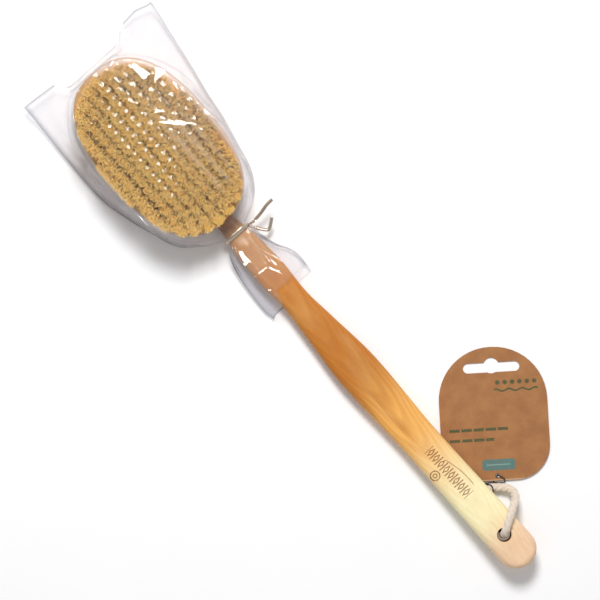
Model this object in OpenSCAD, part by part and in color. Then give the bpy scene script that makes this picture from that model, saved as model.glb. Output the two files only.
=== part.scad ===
// Body dry brush: an oval head of bristle tufts on a long, bowed wooden handle,
// with a cotton hanging loop, a card hang tag, and a clear bag tied over the head.
// Millimetres. +Y runs from the handle's end to the head and +Z is up out of the
// bristles. The brush lies on its back on z = 0.

/* [Head] */
// Length of the oval block along the brush
head_length = 125; // [112:1:138]
// Width of the oval block
head_width = 77; // [70:1:84]
// Thickness of the block
block_thickness = 18; // [17.5:0.5:20]
// How square the oval is: 2 is an ellipse
oval_power = 2.5; // [2.2:0.1:3]

/* [Bristles] */
// Number of tuft rows across the head
row_count = 11; // [11]
// Distance between neighbouring rows
row_spacing = 6.9; // [6.2:0.1:7]
// Distance between tufts in one row
tuft_pitch = 5.8; // [5.4:0.1:7]
// Free length of the bristles above the block
bristle_length = 21; // [18:0.5:21]
// Depth of the drilled tuft holes
hole_depth = 7.5; // [6:0.5:7.5]

/* [Handle] */
// Length of the handle from its end to the rim of the head
handle_length = 290; // [270:1:310]
// Width of the grip near the handle's end
grip_width = 25.6; // [23:0.2:28]
// Greatest width, a little past the handle's middle
belly_width = 27.6; // [25:0.2:30]
// Width of the waist between belly and neck
waist_width = 17.8; // [16:0.2:20]
// Width of the small swell behind the neck
swell_width = 20; // [18:0.2:21]
// Width of the neck where it meets the head
neck_width = 12.7; // [11.6:0.1:13.5]
// How far the handle's end curves up off the table
end_rise = 10; // [9:0.5:12]
// Diameter of the hanging hole
hang_hole_d = 8.5; // [8:0.1:10]
// Distance of the hanging hole from the handle's end
hang_hole_from_end = 24.5; // [24:0.5:25]

/* [Hang tag] */
// Width of the card
tag_width = 69; // [60:1:72]
// Height of the card
tag_height = 85; // [80:1:92]
// Thickness of the card
tag_thickness = 0.45; // [0.3:0.05:0.5]
// Length of the hook slot
slot_length = 36; // [30:1:38]
// Height of the hook slot
slot_height = 6.3; // [5.5:0.1:7]

/* [Bag, tie and cords] */
// Wall of the clear bag
film_thickness = 0.5; // [0.4:0.05:0.6]
// Diameter of the cotton loop
cord_d = 4.2; // [3.6:0.1:4.2]
// Diameter of the thin string that holds the card
string_d = 0.8; // [0.6:0.1:0.9]
// Width of the twist tie
tie_width = 2.4; // [2:0.1:3]

/* [Hidden] */
$fn = 48;
eps = 0.01;
clearance = 0.15;

// Heights. The film under the block lifts it a little off the table.
block_bottom = 0.9;
block_top = block_bottom + block_thickness;
tip_height = block_top + bristle_length;
neck_axis_z = 7.1;
bag_top = tip_height + 2.3;

// The brush and its bag are centred on the origin, so the handle's end is at end_y.
head_centre = handle_length + head_length / 2;
bag_reach = 13;
overall_length = handle_length + head_length + bag_reach;
end_y = -overall_length / 2;

// Tufts
hole_r = 1.6;
tuft_root_r = hole_r - clearance;
tuft_tip_r = 2.3;
tuft_rim_margin_y = 4;
tuft_rim_margin_x = 3;
anchor_height = 1.4;

// Block and tenon
oval_points = 80;
// Levels of the rounded underside: [height above the block's underside, how far drawn in]
underside_rounding = [[0, 3.6], [0.4, 2], [1.1, 0.7], [2, 0]];
side_start = block_bottom + underside_rounding[3][0];
tenon_d = 8;
tenon_length = 24;

// Handle: [distance from the end, value] stations, joined by smooth curves.
end_r = grip_width / 2;
edge_r = 4.5;
belly_start = 135;
belly_end = 185;
neck_rise_end = 235;
handle_widths = [[end_r, grip_width], [0.17 * handle_length, grip_width - 0.5],
                 [0.36 * handle_length, grip_width - 1.4], [0.56 * handle_length, belly_width],
                 [0.69 * handle_length, 0.78 * belly_width], [0.765 * handle_length, waist_width],
                 [0.85 * handle_length, swell_width], [0.925 * handle_length, waist_width],
                 [handle_length, neck_width]];
handle_thicknesses = [[0, 12], [0.2 * handle_length, 12.6], [0.56 * handle_length, 13.5],
                      [0.76 * handle_length, 12.2], [handle_length, 10.8]];
neck_rise = neck_axis_z - handle_thicknesses[4][1] / 2;
end_angles = [for (a = [4 : 12 : 88]) a];
ring_step = 6;
corner_steps = 5;

// Hang tag, laid flat beside the handle's end and partly under it
tag_position = [19.9, 51.6];
tag_turn = -38.3;
tag_lift = 1.15;
tag_slope = 0.75;
tag_top_r = 34;
tag_corner_r = 22;
tag_hole_r = 1.5;
tag_hole_up = 3;
slot_drop = 13;
slot_bump_r = 5;

// Bag: [distance from the handle's end, width, lowest z, highest z, corner radius]
bag_sections = [
    [227, 42, 0.3, 17, 8], [240, 40, 0.3, 16.8, 8], [255, 33, 0.4, 16, 7.5], [268, 24, 0.6, 15, 7],
    [274, 19, 0.7, 14.2, 6.4], [277, 17, 0.8, 13.8, 6.2], [280, 17, 0.8, 13.8, 6.2],
    [283, 20, 0.7, 21, 8], [287, 28, 0.5, 34, 10],
    [290, 37, 0.3, bag_top - 1.6, 12], [294, 50, 0, bag_top - 0.1, 12], [302, 68, 0, bag_top, 12],
    [312, 78, 0, bag_top, 12], [330, 90, 0, bag_top, 12], [352, 97, 0, bag_top, 12],
    [375, 99, 0, bag_top, 12], [395, 101, 0, bag_top, 12], [408, 102.5, 0, bag_top, 12],
    [416, 103, 0, bag_top - 1, 12], [420, 103.6, 3.5, 34, 9], [424, 104, 8, 23, 5],
    [428, 104, 11.4, 14.2, 1.3]];
tie_section = 5;
tie_position = 278.5;
tie_gap = 0.15;
tie_thickness = 0.5;

// Cotton loop: [x, distance from the handle's end, z]. It starts at the knot under the
// handle, climbs through the hole, crosses the handle's edge, turns beside the card's
// lower edge and comes back under the handle to the knot.
cord_route = [
    [4.1, 32.6, 3.2], [2.4, 29.8, 3.7], [1, 27, 5.4], [0.2, 25.1, 8.8], [0, 24.5, 12.5],
    [0.1, 24.6, 16.4], [0.8, 25, 20], [3, 26.4, 22.7], [6.6, 28.6, 23.4], [10.6, 31, 22.9],
    [14.6, 33.3, 20.7], [18.3, 35.2, 16.6], [21.2, 37, 11.4], [22.5, 39.8, 7.2], [21.7, 43.2, 5],
    [19.2, 46.3, 4.2], [16.4, 49, 4], [13.5, 50.9, 3.8], [10.7, 50.4, 3.3], [9.3, 47.8, 2.9],
    [9.4, 44, 2.9], [8.7, 40.2, 3], [6.3, 36.4, 3.2]];
// Thin string: [across the card, up the card, z] from the middle of the card's lower edge.
string_route = [
    [-7.9, -1.7, 2.6], [-5.6, -1.3, 2.4], [-2.5, -1.3, 2.4], [1.5, -1.6, 2.4], [4, -1.3, 2.5],
    [4.3, 0.5, 2.5], [2.6, 2.1, 2.5], [0.9, 2.9, 2.2], [0, 3, 1.4], [-0.8, 2.3, 0.7],
    [-2, 0.8, 0.6], [-3, -1.4, 0.6], [-3.3, -3.2, 0.8], [-3.4, -4.8, 1.1], [-3.4, -6.3, 1.7],
    [-3.4, -7.2, 3], [-3.4, -7.3, 4.5], [-3.5, -6.3, 6], [-3.7, -4.6, 6.7], [-4.4, -2.9, 6.2],
    [-6, -2.1, 4.9], [-8.2, -2.4, 3.7]];
cord_steps = 3;
string_steps = 2;
tie_steps = 3;
knot_position = [5.2, 34.5, 3.2];
knot_r = 2.7;
knot_ring_r = 1.5;
string_knot_position = [-8.1, -2, 3.1];
string_knot_r = 1.05;

// Free ends of the twist tie: [x, distance from the handle's end, z]
long_tie_end = [[8.95, 278.5, 9], [13.4, 277.6, 10.4], [20.6, 278.4, 13.4], [26, 279.6, 16], [31.3, 279.9, 17.6]];
short_tie_end = [[8.95, 277.9, 8.4], [11.8, 273.6, 8.6], [14.8, 269.4, 8.4], [17, 267.4, 8.6],
                 [19.6, 268.6, 9.6], [23.5, 271.7, 11.4]];
tie_wire_r = 0.8;

// ---------- Smooth values and outlines ----------

// Slope of a station list at station i, from its neighbours.
function station_slope(list, i) =
    let (a = max(i - 1, 0), b = min(i + 1, len(list) - 1))
    (i == 0 || i == len(list) - 1) ? 0 : (list[b][1] - list[a][1]) / (list[b][0] - list[a][0]);

// Value of a station list at distance d, along a cubic through its stations.
function at_station(list, d, i = 0) =
    d <= list[0][0] ? list[0][1] :
    i >= len(list) - 1 ? list[len(list) - 1][1] :
    d > list[i + 1][0] ? at_station(list, d, i + 1) :
    let (h = list[i + 1][0] - list[i][0], t = (d - list[i][0]) / h,
         m0 = station_slope(list, i) * h, m1 = station_slope(list, i + 1) * h)
    (2 * pow(t, 3) - 3 * pow(t, 2) + 1) * list[i][1] + (pow(t, 3) - 2 * pow(t, 2) + t) * m0
    + (3 * pow(t, 2) - 2 * pow(t, 3)) * list[i + 1][1] + (pow(t, 3) - pow(t, 2)) * m1;

function smoothstep(t) = let (c = min(max(t, 0), 1)) c * c * (3 - 2 * c);

function signed_power(v, p) = sign(v) * pow(abs(v), p);

// Outline of the oval, drawn in by an inset.
function oval(inset = 0) =
    [for (i = [0 : oval_points - 1]) let (a = -360 * i / oval_points)
        [(head_width / 2 - inset) * signed_power(cos(a), 2 / oval_power),
         (head_length / 2 - inset) * signed_power(sin(a), 2 / oval_power)]];

// Half length of the tuft field at distance x from the middle row.
function row_half_length(x) =
    let (reach = abs(x) / (head_width / 2 - tuft_rim_margin_x))
    (head_length / 2 - tuft_rim_margin_y) * pow(max(0, 1 - pow(reach, oval_power)), 1 / oval_power);

function row_x(row) = (row - (row_count - 1) / 2) * row_spacing;

// Tuft places in one row: odd rows have a tuft on the middle line, even rows straddle it.
function row_places(row) =
    let (half = row_half_length(row_x(row)), shift = row % 2 == 0 ? tuft_pitch / 2 : 0,
         most = floor((half - shift) / tuft_pitch))
    [for (j = [-most - (shift > 0 ? 1 : 0) : most]) [row_x(row), shift + j * tuft_pitch]];

// ---------- Lofts and tubes ----------

// Rounded rectangle in the plane y = d, centred on x = 0.
function rounded_ring(d, width, low, high, radius) =
    let (r = min(radius, width / 2 - eps, (high - low) / 2 - eps),
         corners = [[width / 2 - r, high - r, 0], [r - width / 2, high - r, 90],
                    [r - width / 2, low + r, 180], [width / 2 - r, low + r, 270]])
    [for (c = corners, k = [0 : corner_steps]) let (a = c[2] + 90 * k / corner_steps)
        [c[0] + r * cos(a), d, c[1] + r * sin(a)]];

// Triangles between consecutive rings of n points, the first ring at index start.
function loft_sides(rings, n, start = 0, flip = false) =
    [for (i = [0 : rings - 2], k = [0 : n - 1])
        let (a = start + i * n + k, b = start + i * n + (k + 1) % n)
        each (flip ? [[a, a + n, b], [b, a + n, b + n]] : [[a, b, a + n], [b, b + n, a + n]])];

module loft(rings) {
    n = len(rings[0]);
    last = (len(rings) - 1) * n;
    polyhedron([for (r = rings) each r],
               concat(loft_sides(len(rings), n),
                      [[for (k = [n - 1 : -1 : 0]) k], [for (k = [0 : n - 1]) last + k]]));
}

function catmull(a, b, c, d, t) =
    0.5 * (2 * b + (c - a) * t + (2 * a - 5 * b + 4 * c - d) * t * t + (3 * b - a - 3 * c + d) * t * t * t);

// A route's points with smooth steps between them.
function smooth_route(points, steps) =
    let (last = len(points) - 1)
    concat([for (i = [0 : last - 1], k = [0 : steps - 1])
               catmull(points[max(i - 1, 0)], points[i], points[i + 1], points[min(i + 2, last)], k / steps)],
           [points[last]]);

function unit(v) = v / norm(v);
function heading(path, i) = unit(path[min(i + 1, len(path) - 1)] - path[max(i - 1, 0)]);

// Normals that turn as little as possible from one ring to the next.
function normals(path, i = 0, before = [0.31, 0.17, 0.93], found = []) =
    i == len(path) ? found :
    let (t = heading(path, i), n = unit(before - (before * t) * t))
    normals(path, i + 1, n, concat(found, [n]));

module tube(route, radius, steps, sides = 8) {
    path = smooth_route(route, steps);
    side = normals(path);
    loft([for (i = [0 : len(path) - 1]) let (n = side[i], b = cross(heading(path, i), n))
            [for (k = [0 : sides - 1]) let (a = -360 * k / sides)
                path[i] + radius * (cos(a) * n + sin(a) * b)]]);
}

// Moves a child from distances measured at the handle's end to the part's frame.
module from_end() {
    translate([0, end_y, 0]) children();
}

// Moves a child from the middle of the head.
module on_head() {
    translate([0, end_y + head_centre, 0]) children();
}

// ---------- Head ----------

module head_block() {
    color("burlywood") {
        on_head() loft([for (l = underside_rounding)
            [for (p = oval(l[1])) [p[0], p[1], block_bottom + l[0]]]]);
        difference() {
            on_head() translate([0, 0, side_start])
                linear_extrude(block_top - side_start) polygon(oval());
            tuft_holes();
            from_end() translate([0, handle_length - 2, neck_axis_z]) rotate([-90, 0, 0])
                cylinder(h = tenon_length + 3, r = tenon_d / 2 + clearance);
        }
    }
}

module tuft_holes() {
    on_head() for (row = [0 : row_count - 1], p = row_places(row))
        translate([p[0], p[1], block_top - hole_depth]) cylinder(h = hole_depth + 1, r = hole_r);
}

// One row of tufts, each a straight root in its hole and a flared brush above.
module tuft_row(row) {
    root = anchor_height + 2 * clearance - hole_depth;
    color("darkgoldenrod") on_head() for (p = row_places(row))
        translate([p[0], p[1], block_top]) rotate_extrude()
            polygon([[0, root], [tuft_root_r, root], [tuft_root_r, 0],
                     [tuft_tip_r, bristle_length - 1], [tuft_tip_r - 0.8, bristle_length],
                     [0, bristle_length]]);
}

// The metal plates over which the tufts are folded, one at the bottom of each hole.
module tuft_anchors() {
    color("silver") on_head() for (row = [0 : row_count - 1], p = row_places(row))
        translate([p[0] - tuft_root_r + 0.1, p[1] - 0.2, block_top - hole_depth + clearance])
            cube([2 * tuft_root_r - 0.2, 0.4, anchor_height]);
}

// ---------- Handle ----------

function underside(d) =
    d < belly_start ? end_rise * pow(1 - d / belly_start, 1.4)
                    : neck_rise * smoothstep((d - belly_end) / (neck_rise_end - belly_end));

// Width at distance d: a round end, then the stations.
function handle_width(d) =
    d < end_r ? 2 * sqrt(end_r * end_r - pow(end_r - d, 2)) : at_station(handle_widths, d);

// How far the rounded edge of the end draws the top and underside in.
function end_draw_in(d) = d >= edge_r ? 0 : edge_r - sqrt(edge_r * edge_r - pow(edge_r - d, 2));

function handle_ring(d) =
    let (low = underside(d) + end_draw_in(d),
         high = underside(d) + at_station(handle_thicknesses, d) - end_draw_in(d))
    rounded_ring(d, handle_width(d), low, high, edge_r);

module handle() {
    round_end = [for (a = end_angles) end_r * (1 - cos(a))];
    shaft = [for (k = [0 : floor((handle_length - end_r) / ring_step) - 1]) end_r + k * ring_step];
    distances = concat(round_end, shaft, [handle_length - 2, handle_length - clearance]);
    color("sandybrown") from_end() difference() {
        union() {
            loft([for (d = distances) handle_ring(d)]);
            translate([0, handle_length - 4, neck_axis_z]) rotate([-90, 0, 0])
                cylinder(h = tenon_length + 4, r = tenon_d / 2);
        }
        translate([0, hang_hole_from_end, -1]) cylinder(h = 30, r = hang_hole_d / 2);
    }
}

// ---------- Bag and tie ----------

// A thin cup of film: closed over the head, open at its skirt on the neck.
module poly_bag() {
    outer = [for (s = bag_sections) rounded_ring(s[0], s[1], s[2], s[3], s[4])];
    inner = [for (i = [0 : len(bag_sections) - 1])
        let (s = bag_sections[i], w = film_thickness, pull = i == len(bag_sections) - 1 ? w : 0)
        rounded_ring(s[0] - pull, s[1] - 2 * w, s[2] + w, s[3] - w, s[4] - w)];
    rings = len(outer);
    n = len(outer[0]);
    skin = rings * n;
    rim = [for (k = [0 : n - 1]) let (m = (k + 1) % n)
        each [[k, skin + k, m], [m, skin + k, skin + m]]];
    color("white", 0.3) from_end()
        polyhedron(concat([for (r = outer) each r], [for (r = inner) each r]),
                   concat(loft_sides(rings, n), loft_sides(rings, n, skin, true), rim,
                          [[for (k = [0 : n - 1]) skin - n + k],
                           [for (k = [n - 1 : -1 : 0]) 2 * skin - n + k]]));
}

// The tie: a flat ribbon round the gathered film, and its two twisted-out ends.
module twist_tie() {
    color("gray") from_end() {
        translate([0, tie_position + tie_width / 2, 0]) rotate([90, 0, 0]) linear_extrude(tie_width)
            difference() {
                tie_outline(tie_gap + tie_thickness);
                tie_outline(tie_gap);
            }
        tube(long_tie_end, tie_wire_r, tie_steps);
        tube(short_tie_end, tie_wire_r, tie_steps);
    }
}

// Rounded outline of the gathered film at the tie, grown by a gap.
module tie_outline(gap) {
    s = bag_sections[tie_section];
    ring = rounded_ring(0, s[1] + 2 * gap, s[2] - gap, s[3] + gap, s[4] + gap);
    polygon([for (p = ring) [p[0], p[2]]]);
}

// ---------- Loop, card and string ----------

module hang_cord() {
    color("linen") from_end() tube(cord_route, cord_d / 2, cord_steps);
}

module cord_knot() {
    color("linen") from_end() translate(knot_position) {
        sphere(r = knot_r);
        rotate_extrude() translate([knot_r, 0]) circle(r = knot_ring_r);
    }
}

// Card outline: a broad round top, straight sides and rounded lower corners.
function arc(centre, radius, from, to, steps = 12) =
    [for (k = [0 : steps]) let (a = from + (to - from) * k / steps)
        [centre[0] + radius * cos(a), centre[1] + radius * sin(a)]];

module tag_outline() {
    half = tag_width / 2;
    polygon(concat(
        arc([half - tag_corner_r, tag_corner_r], tag_corner_r, -90, 0),
        arc([half - tag_top_r, tag_height - tag_top_r], tag_top_r, 0, 90),
        arc([tag_top_r - half, tag_height - tag_top_r], tag_top_r, 90, 180),
        arc([tag_corner_r - half, tag_corner_r], tag_corner_r, 180, 270)));
}

// Slot for a shop hook: a long slot with a small rise at its middle.
module hook_slot() {
    run = slot_length / 2 - slot_height / 2;
    translate([0, tag_height - slot_drop]) {
        for (side = [-1, 1]) translate([side * run, 0]) circle(d = slot_height);
        square([2 * run, slot_height], center = true);
        translate([0, slot_height / 2 - 2]) circle(r = slot_bump_r);
    }
}

// Moves a child from the middle of the card's lower edge to the part's frame.
module on_card() {
    from_end() translate(tag_position) rotate([0, 0, tag_turn]) children();
}

module hang_tag() {
    color("peru") on_card() translate([0, 0, tag_lift]) rotate([-tag_slope, 0, 0])
        linear_extrude(tag_thickness) difference() {
            tag_outline();
            hook_slot();
            translate([0, tag_hole_up]) circle(r = tag_hole_r);
        }
}

module tag_string() {
    color("black") on_card() tube(string_route, string_d / 2, string_steps);
}

module string_knot() {
    color("black") on_card() translate(string_knot_position) sphere(r = string_knot_r);
}

head_block();
handle();
tuft_row(0);  // tuft_row_01
tuft_row(1);  // tuft_row_02
tuft_row(2);  // tuft_row_03
tuft_row(3);  // tuft_row_04
tuft_row(4);  // tuft_row_05
tuft_row(5);  // tuft_row_06
tuft_row(6);  // tuft_row_07
tuft_row(7);  // tuft_row_08
tuft_row(8);  // tuft_row_09
tuft_row(9);  // tuft_row_10
tuft_row(10);  // tuft_row_11
tuft_anchors();
poly_bag();
twist_tie();
hang_cord();
cord_knot();
hang_tag();
tag_string();
string_knot();
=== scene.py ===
"""Looks of the body dry brush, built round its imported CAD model.

Everything is in metres in the CAD model's frame: +Y from the handle's end to the
head, +Z up out of the bristles. Most shapes are worked out in millimetres, with
d for the distance from the handle's end, and turned into that frame by place().
"""
import math
from functools import partialmethod

import bmesh
import bpy
import numpy as np
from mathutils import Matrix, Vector


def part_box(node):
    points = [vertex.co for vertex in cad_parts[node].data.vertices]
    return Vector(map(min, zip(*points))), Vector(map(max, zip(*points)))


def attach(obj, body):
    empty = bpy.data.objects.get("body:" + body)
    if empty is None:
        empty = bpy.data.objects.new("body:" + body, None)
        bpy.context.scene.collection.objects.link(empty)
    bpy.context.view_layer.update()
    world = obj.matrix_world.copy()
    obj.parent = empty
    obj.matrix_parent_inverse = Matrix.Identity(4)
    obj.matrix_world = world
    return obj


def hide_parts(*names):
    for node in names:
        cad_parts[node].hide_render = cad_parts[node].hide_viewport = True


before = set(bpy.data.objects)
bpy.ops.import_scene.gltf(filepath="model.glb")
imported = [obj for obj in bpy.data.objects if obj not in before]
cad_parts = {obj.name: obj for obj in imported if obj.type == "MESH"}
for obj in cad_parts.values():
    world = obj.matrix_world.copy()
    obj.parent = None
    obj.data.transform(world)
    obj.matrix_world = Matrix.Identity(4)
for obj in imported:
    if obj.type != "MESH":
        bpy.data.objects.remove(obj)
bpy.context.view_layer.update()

MM = 0.001
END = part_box("handle")[0].y / MM


def place(points):
    """Points given as x, d, z in millimetres, in the frame's metres."""
    return (np.asarray(points, float) + (0, END, 0)) * MM


def span(node):
    """A node's lowest and highest x, d and z, in millimetres."""
    low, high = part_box(node)
    return np.array(low) / MM - (0, END, 0), np.array(high) / MM - (0, END, 0)


# ---------- Camera and light ----------

VIEW_TURN = math.radians(-41.66)
VIEW_CENTRE = Vector((0.0022, 0.0068, 0.012))
VIEW_WIDTH = 0.3796
CAMERA_HEIGHT = 2.4
CAMERA_PLACE = VIEW_CENTRE + Vector((0, 0, CAMERA_HEIGHT))
KEY_PLACE = Vector((0.5, 0.6, 1.3))
FILL_PLACE = Vector((-0.9, -0.5, 1.5))
SKY_STRENGTH = 0.37


def add_object(name, data):
    obj = bpy.data.objects.new(name, data)
    bpy.context.scene.collection.objects.link(obj)
    return obj


def add_camera():
    data = bpy.data.cameras.new("camera")
    data.lens = data.sensor_width * CAMERA_HEIGHT / VIEW_WIDTH
    data.clip_end = 50
    camera = add_object("camera", data)
    camera.location = CAMERA_PLACE
    camera.rotation_euler = (0, 0, VIEW_TURN)
    bpy.context.scene.camera = camera


def add_area_light(name, position, size, power):
    data = bpy.data.lights.new(name, "AREA")
    data.size = size
    data.energy = power
    light = add_object(name, data)
    light.location = position
    light.rotation_euler = (-position).to_track_quat("-Z", "Y").to_euler()
    light.visible_camera = False


def add_world():
    world = bpy.data.worlds.new("studio")
    world.use_nodes = True
    background = world.node_tree.nodes["Background"]
    background.inputs["Color"].default_value = (1, 1, 1, 1)
    background.inputs["Strength"].default_value = SKY_STRENGTH
    bpy.context.scene.world = world
    bpy.context.scene.view_settings.view_transform = "Standard"


add_camera()
add_world()
add_area_light("key_light", KEY_PLACE, size=0.42, power=19)
add_area_light("fill_light", FILL_PLACE, size=1.2, power=2)


# ---------- Numbers and curves ----------

def ease(t):
    """0 up to t = 0, 1 from t = 1, smooth between them."""
    t = np.clip(t, 0, 1)
    return t * t * (3 - 2 * t)


def hump(t):
    """1 at 0, and nearly 0 from 2 on to either side."""
    return np.exp(-(t**2))


def at_stations(stations, d):
    """Values at d on the cubic through [distance, value] stations, level at its ends."""
    xs, ys = np.array(stations, float).T
    slopes = np.zeros(len(xs))
    slopes[1:-1] = (ys[2:] - ys[:-2]) / (xs[2:] - xs[:-2])
    d = np.clip(d, xs[0], xs[-1])
    i = np.clip(np.searchsorted(xs, d) - 1, 0, len(xs) - 2)
    h = xs[i + 1] - xs[i]
    t = (d - xs[i]) / h
    return ((2 * t**3 - 3 * t**2 + 1) * ys[i] + (t**3 - 2 * t**2 + t) * slopes[i] * h
            + (3 * t**2 - 2 * t**3) * ys[i + 1] + (t**3 - t**2) * slopes[i + 1] * h)


def smooth_route(points, step):
    """A Catmull-Rom curve through the points, its own points about step apart."""
    p = np.array(points, float)
    p = np.vstack([2 * p[0] - p[1], p, 2 * p[-1] - p[-2]])
    found = []
    for a, b, c, e in zip(p, p[1:], p[2:], p[3:]):
        count = max(2, round(np.linalg.norm(c - b) / step))
        for t in np.arange(count) / count:
            found.append(0.5 * (2 * b + (c - a) * t + (2 * a - 5 * b + 4 * c - e) * t**2
                                + (3 * b - a - 3 * c + e) * t**3))
    return np.array(found + [p[-2]])


def headings(path):
    """Unit directions along the path."""
    t = np.gradient(path, axis=0)
    return t / np.linalg.norm(t, axis=1)[:, None]


def sides_of(path, first=(0.31, 0.17, 0.93)):
    """Two unit normals at each point, turning as little as they can along the path."""
    t = headings(path)
    n = np.array(first, float)
    across, up = [], []
    for heading in t:
        n = n - (n @ heading) * heading
        n = n / np.linalg.norm(n)
        across.append(np.cross(heading, n))
        up.append(n)
    return np.array(across), np.array(up)


# ---------- Meshes ----------

def loft(rings, caps=True):
    """Points and faces of a skin over rings of equally many points."""
    rows, n = rings.shape[:2]
    i, k = np.meshgrid(np.arange(rows - 1), np.arange(n), indexing="ij")
    a, b = i * n + k, i * n + (k + 1) % n
    faces = np.stack([a, b, b + n, a + n], axis=-1).reshape(-1, 4).tolist()
    if caps:
        faces += [list(range(n))[::-1], list(range((rows - 1) * n, rows * n))]
    return rings.reshape(-1, 3), faces


def joined(*shapes):
    """Several (points, faces) as one."""
    points, faces, start = [], [], 0
    for p, f in shapes:
        points.append(p)
        faces += [[start + i for i in face] for face in f]
        start += len(p)
    return np.vstack(points), faces


def new_object(name, shape):
    """An object from its (points, faces), which all face outwards."""
    mesh = bpy.data.meshes.new(name)
    mesh.from_pydata(place(shape[0]).tolist(), [], shape[1])
    mesh.validate()
    tidy = bmesh.new()
    tidy.from_mesh(mesh)
    bmesh.ops.recalc_face_normals(tidy, faces=tidy.faces)
    tidy.to_mesh(mesh)
    tidy.free()
    return add_object(name, mesh)


def carve(obj, cutter):
    """Cuts a closed object out of this one and removes it."""
    cut = obj.modifiers.new("cut", "BOOLEAN")
    cut.operation = "DIFFERENCE"
    cut.solver = "EXACT"
    cut.object = cutter
    graph = bpy.context.evaluated_depsgraph_get()
    obj.data = bpy.data.meshes.new_from_object(obj.evaluated_get(graph))
    obj.modifiers.clear()
    bpy.data.objects.remove(cutter)


def store(obj, name, values):
    """Keeps one number for each point of a piece, for its material to read."""
    layer = obj.data.attributes.new(name, "FLOAT", "POINT")
    layer.data.foreach_set("value", np.ravel(values).astype(np.float32))


def paint(obj, material):
    obj.data.materials.clear()
    obj.data.materials.append(material)


def add_piece(name, shape, body, material, node, cutter=None, sharp_angle=None):
    """A smooth piece, less what its cutter takes out, with its material and body, standing in for its CAD
    node, which it hides.
    """
    obj = new_object(name, shape)
    if cutter:
        carve(obj, new_object("cutter", cutter))
    for face in obj.data.polygons:
        face.use_smooth = True
    if sharp_angle:
        obj.data.set_sharp_from_angle(angle=math.radians(sharp_angle))
    paint(obj, material)
    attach(obj, body)
    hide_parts(node)
    return obj


def circle(points):
    """Angles of points spread evenly round a circle."""
    return np.linspace(0, 2 * math.pi, points, endpoint=False)


def ring(x, d, z):
    """One ring of points. Each of x, d and z is an array or one number for all."""
    return np.stack(np.broadcast_arrays(x, d, z), axis=-1)


def rounded_ring(d, width, low, high, radius, crown=0.0):
    """Rounded rectangle across the handle at distance d, its top falling by crown at its edges."""
    corner_steps, flat_steps = 7, 4
    r = min(radius, width / 2 - 0.01, (high - low) / 2 - 0.01)
    w, corners = width / 2 - r, []
    for x, z, start in ((w, high - r, 0), (-w, high - r, 90), (-w, low + r, 180), (w, low + r, 270)):
        a = np.radians(start + np.linspace(0, 90, corner_steps + 1))
        corners.append(np.stack([x + r * np.cos(a), z + r * np.sin(a)], axis=1))
    outline = []
    for corner, following in zip(corners, corners[1:] + corners[:1]):
        outline.append(corner)
        t = np.linspace(0, 1, flat_steps + 1)[1:-1, None]
        outline.append(corner[-1] * (1 - t) + following[0] * t)
    x, z = np.vstack(outline).T
    z = z - crown * (x / (width / 2)) ** 2 * (z > (low + high) / 2)
    return ring(x, d, z)


# ---------- Material nodes ----------

def feed(slot, value):
    """Links or sets an input to a number, a colour or a plain value."""
    if isinstance(value, Num):
        value = value.socket
    if isinstance(value, bpy.types.NodeSocket):
        slot.id_data.links.new(value, slot)
    else:
        slot.default_value = value


class Num:
    """A number at each point of a surface, worked out by shader nodes."""

    def __init__(self, socket):
        self.socket = socket

    def node(self, kind, *values):
        """A new node, its first inputs fed with this number and the values."""
        node = self.socket.id_data.nodes.new(kind)
        for slot, value in zip(node.inputs, (self, *values)):
            feed(slot, value)
        return node

    def op(self, operation, *others):
        node = self.node("ShaderNodeMath", *others)
        node.operation = operation
        return Num(node.outputs[0])

    __add__ = partialmethod(op, "ADD")
    __sub__ = partialmethod(op, "SUBTRACT")
    __mul__ = partialmethod(op, "MULTIPLY")
    __truediv__ = partialmethod(op, "DIVIDE")
    power = partialmethod(op, "POWER")
    max = partialmethod(op, "MAXIMUM")
    abs = partialmethod(op, "ABSOLUTE")
    sin = partialmethod(op, "SINE")
    fract = partialmethod(op, "FRACT")

    def hypot(self, other):
        return (self * self + other * other).power(0.5)

    def inverse(self):
        return (self * -1) + 1

    def rise(self, low, high):
        """0 up to low, 1 from high, smooth between them."""
        node = self.node("ShaderNodeMapRange", low, high)
        node.interpolation_type = "SMOOTHSTEP"
        return Num(node.outputs[0])

    def band(self, low, high, soft):
        """1 between low and high, 0 outside them."""
        return self.rise(low - soft, low + soft) * self.rise(high - soft, high + soft).inverse()


def rgb(red, green, blue):
    """A display colour from 0 to 255 as the linear colour that shaders use."""
    shown = np.array([red, green, blue]) / 255
    linear = np.where(shown <= 0.04045, shown / 12.92, ((shown + 0.055) / 1.055) ** 2.4)
    return (*linear.tolist(), 1.0)


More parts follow.
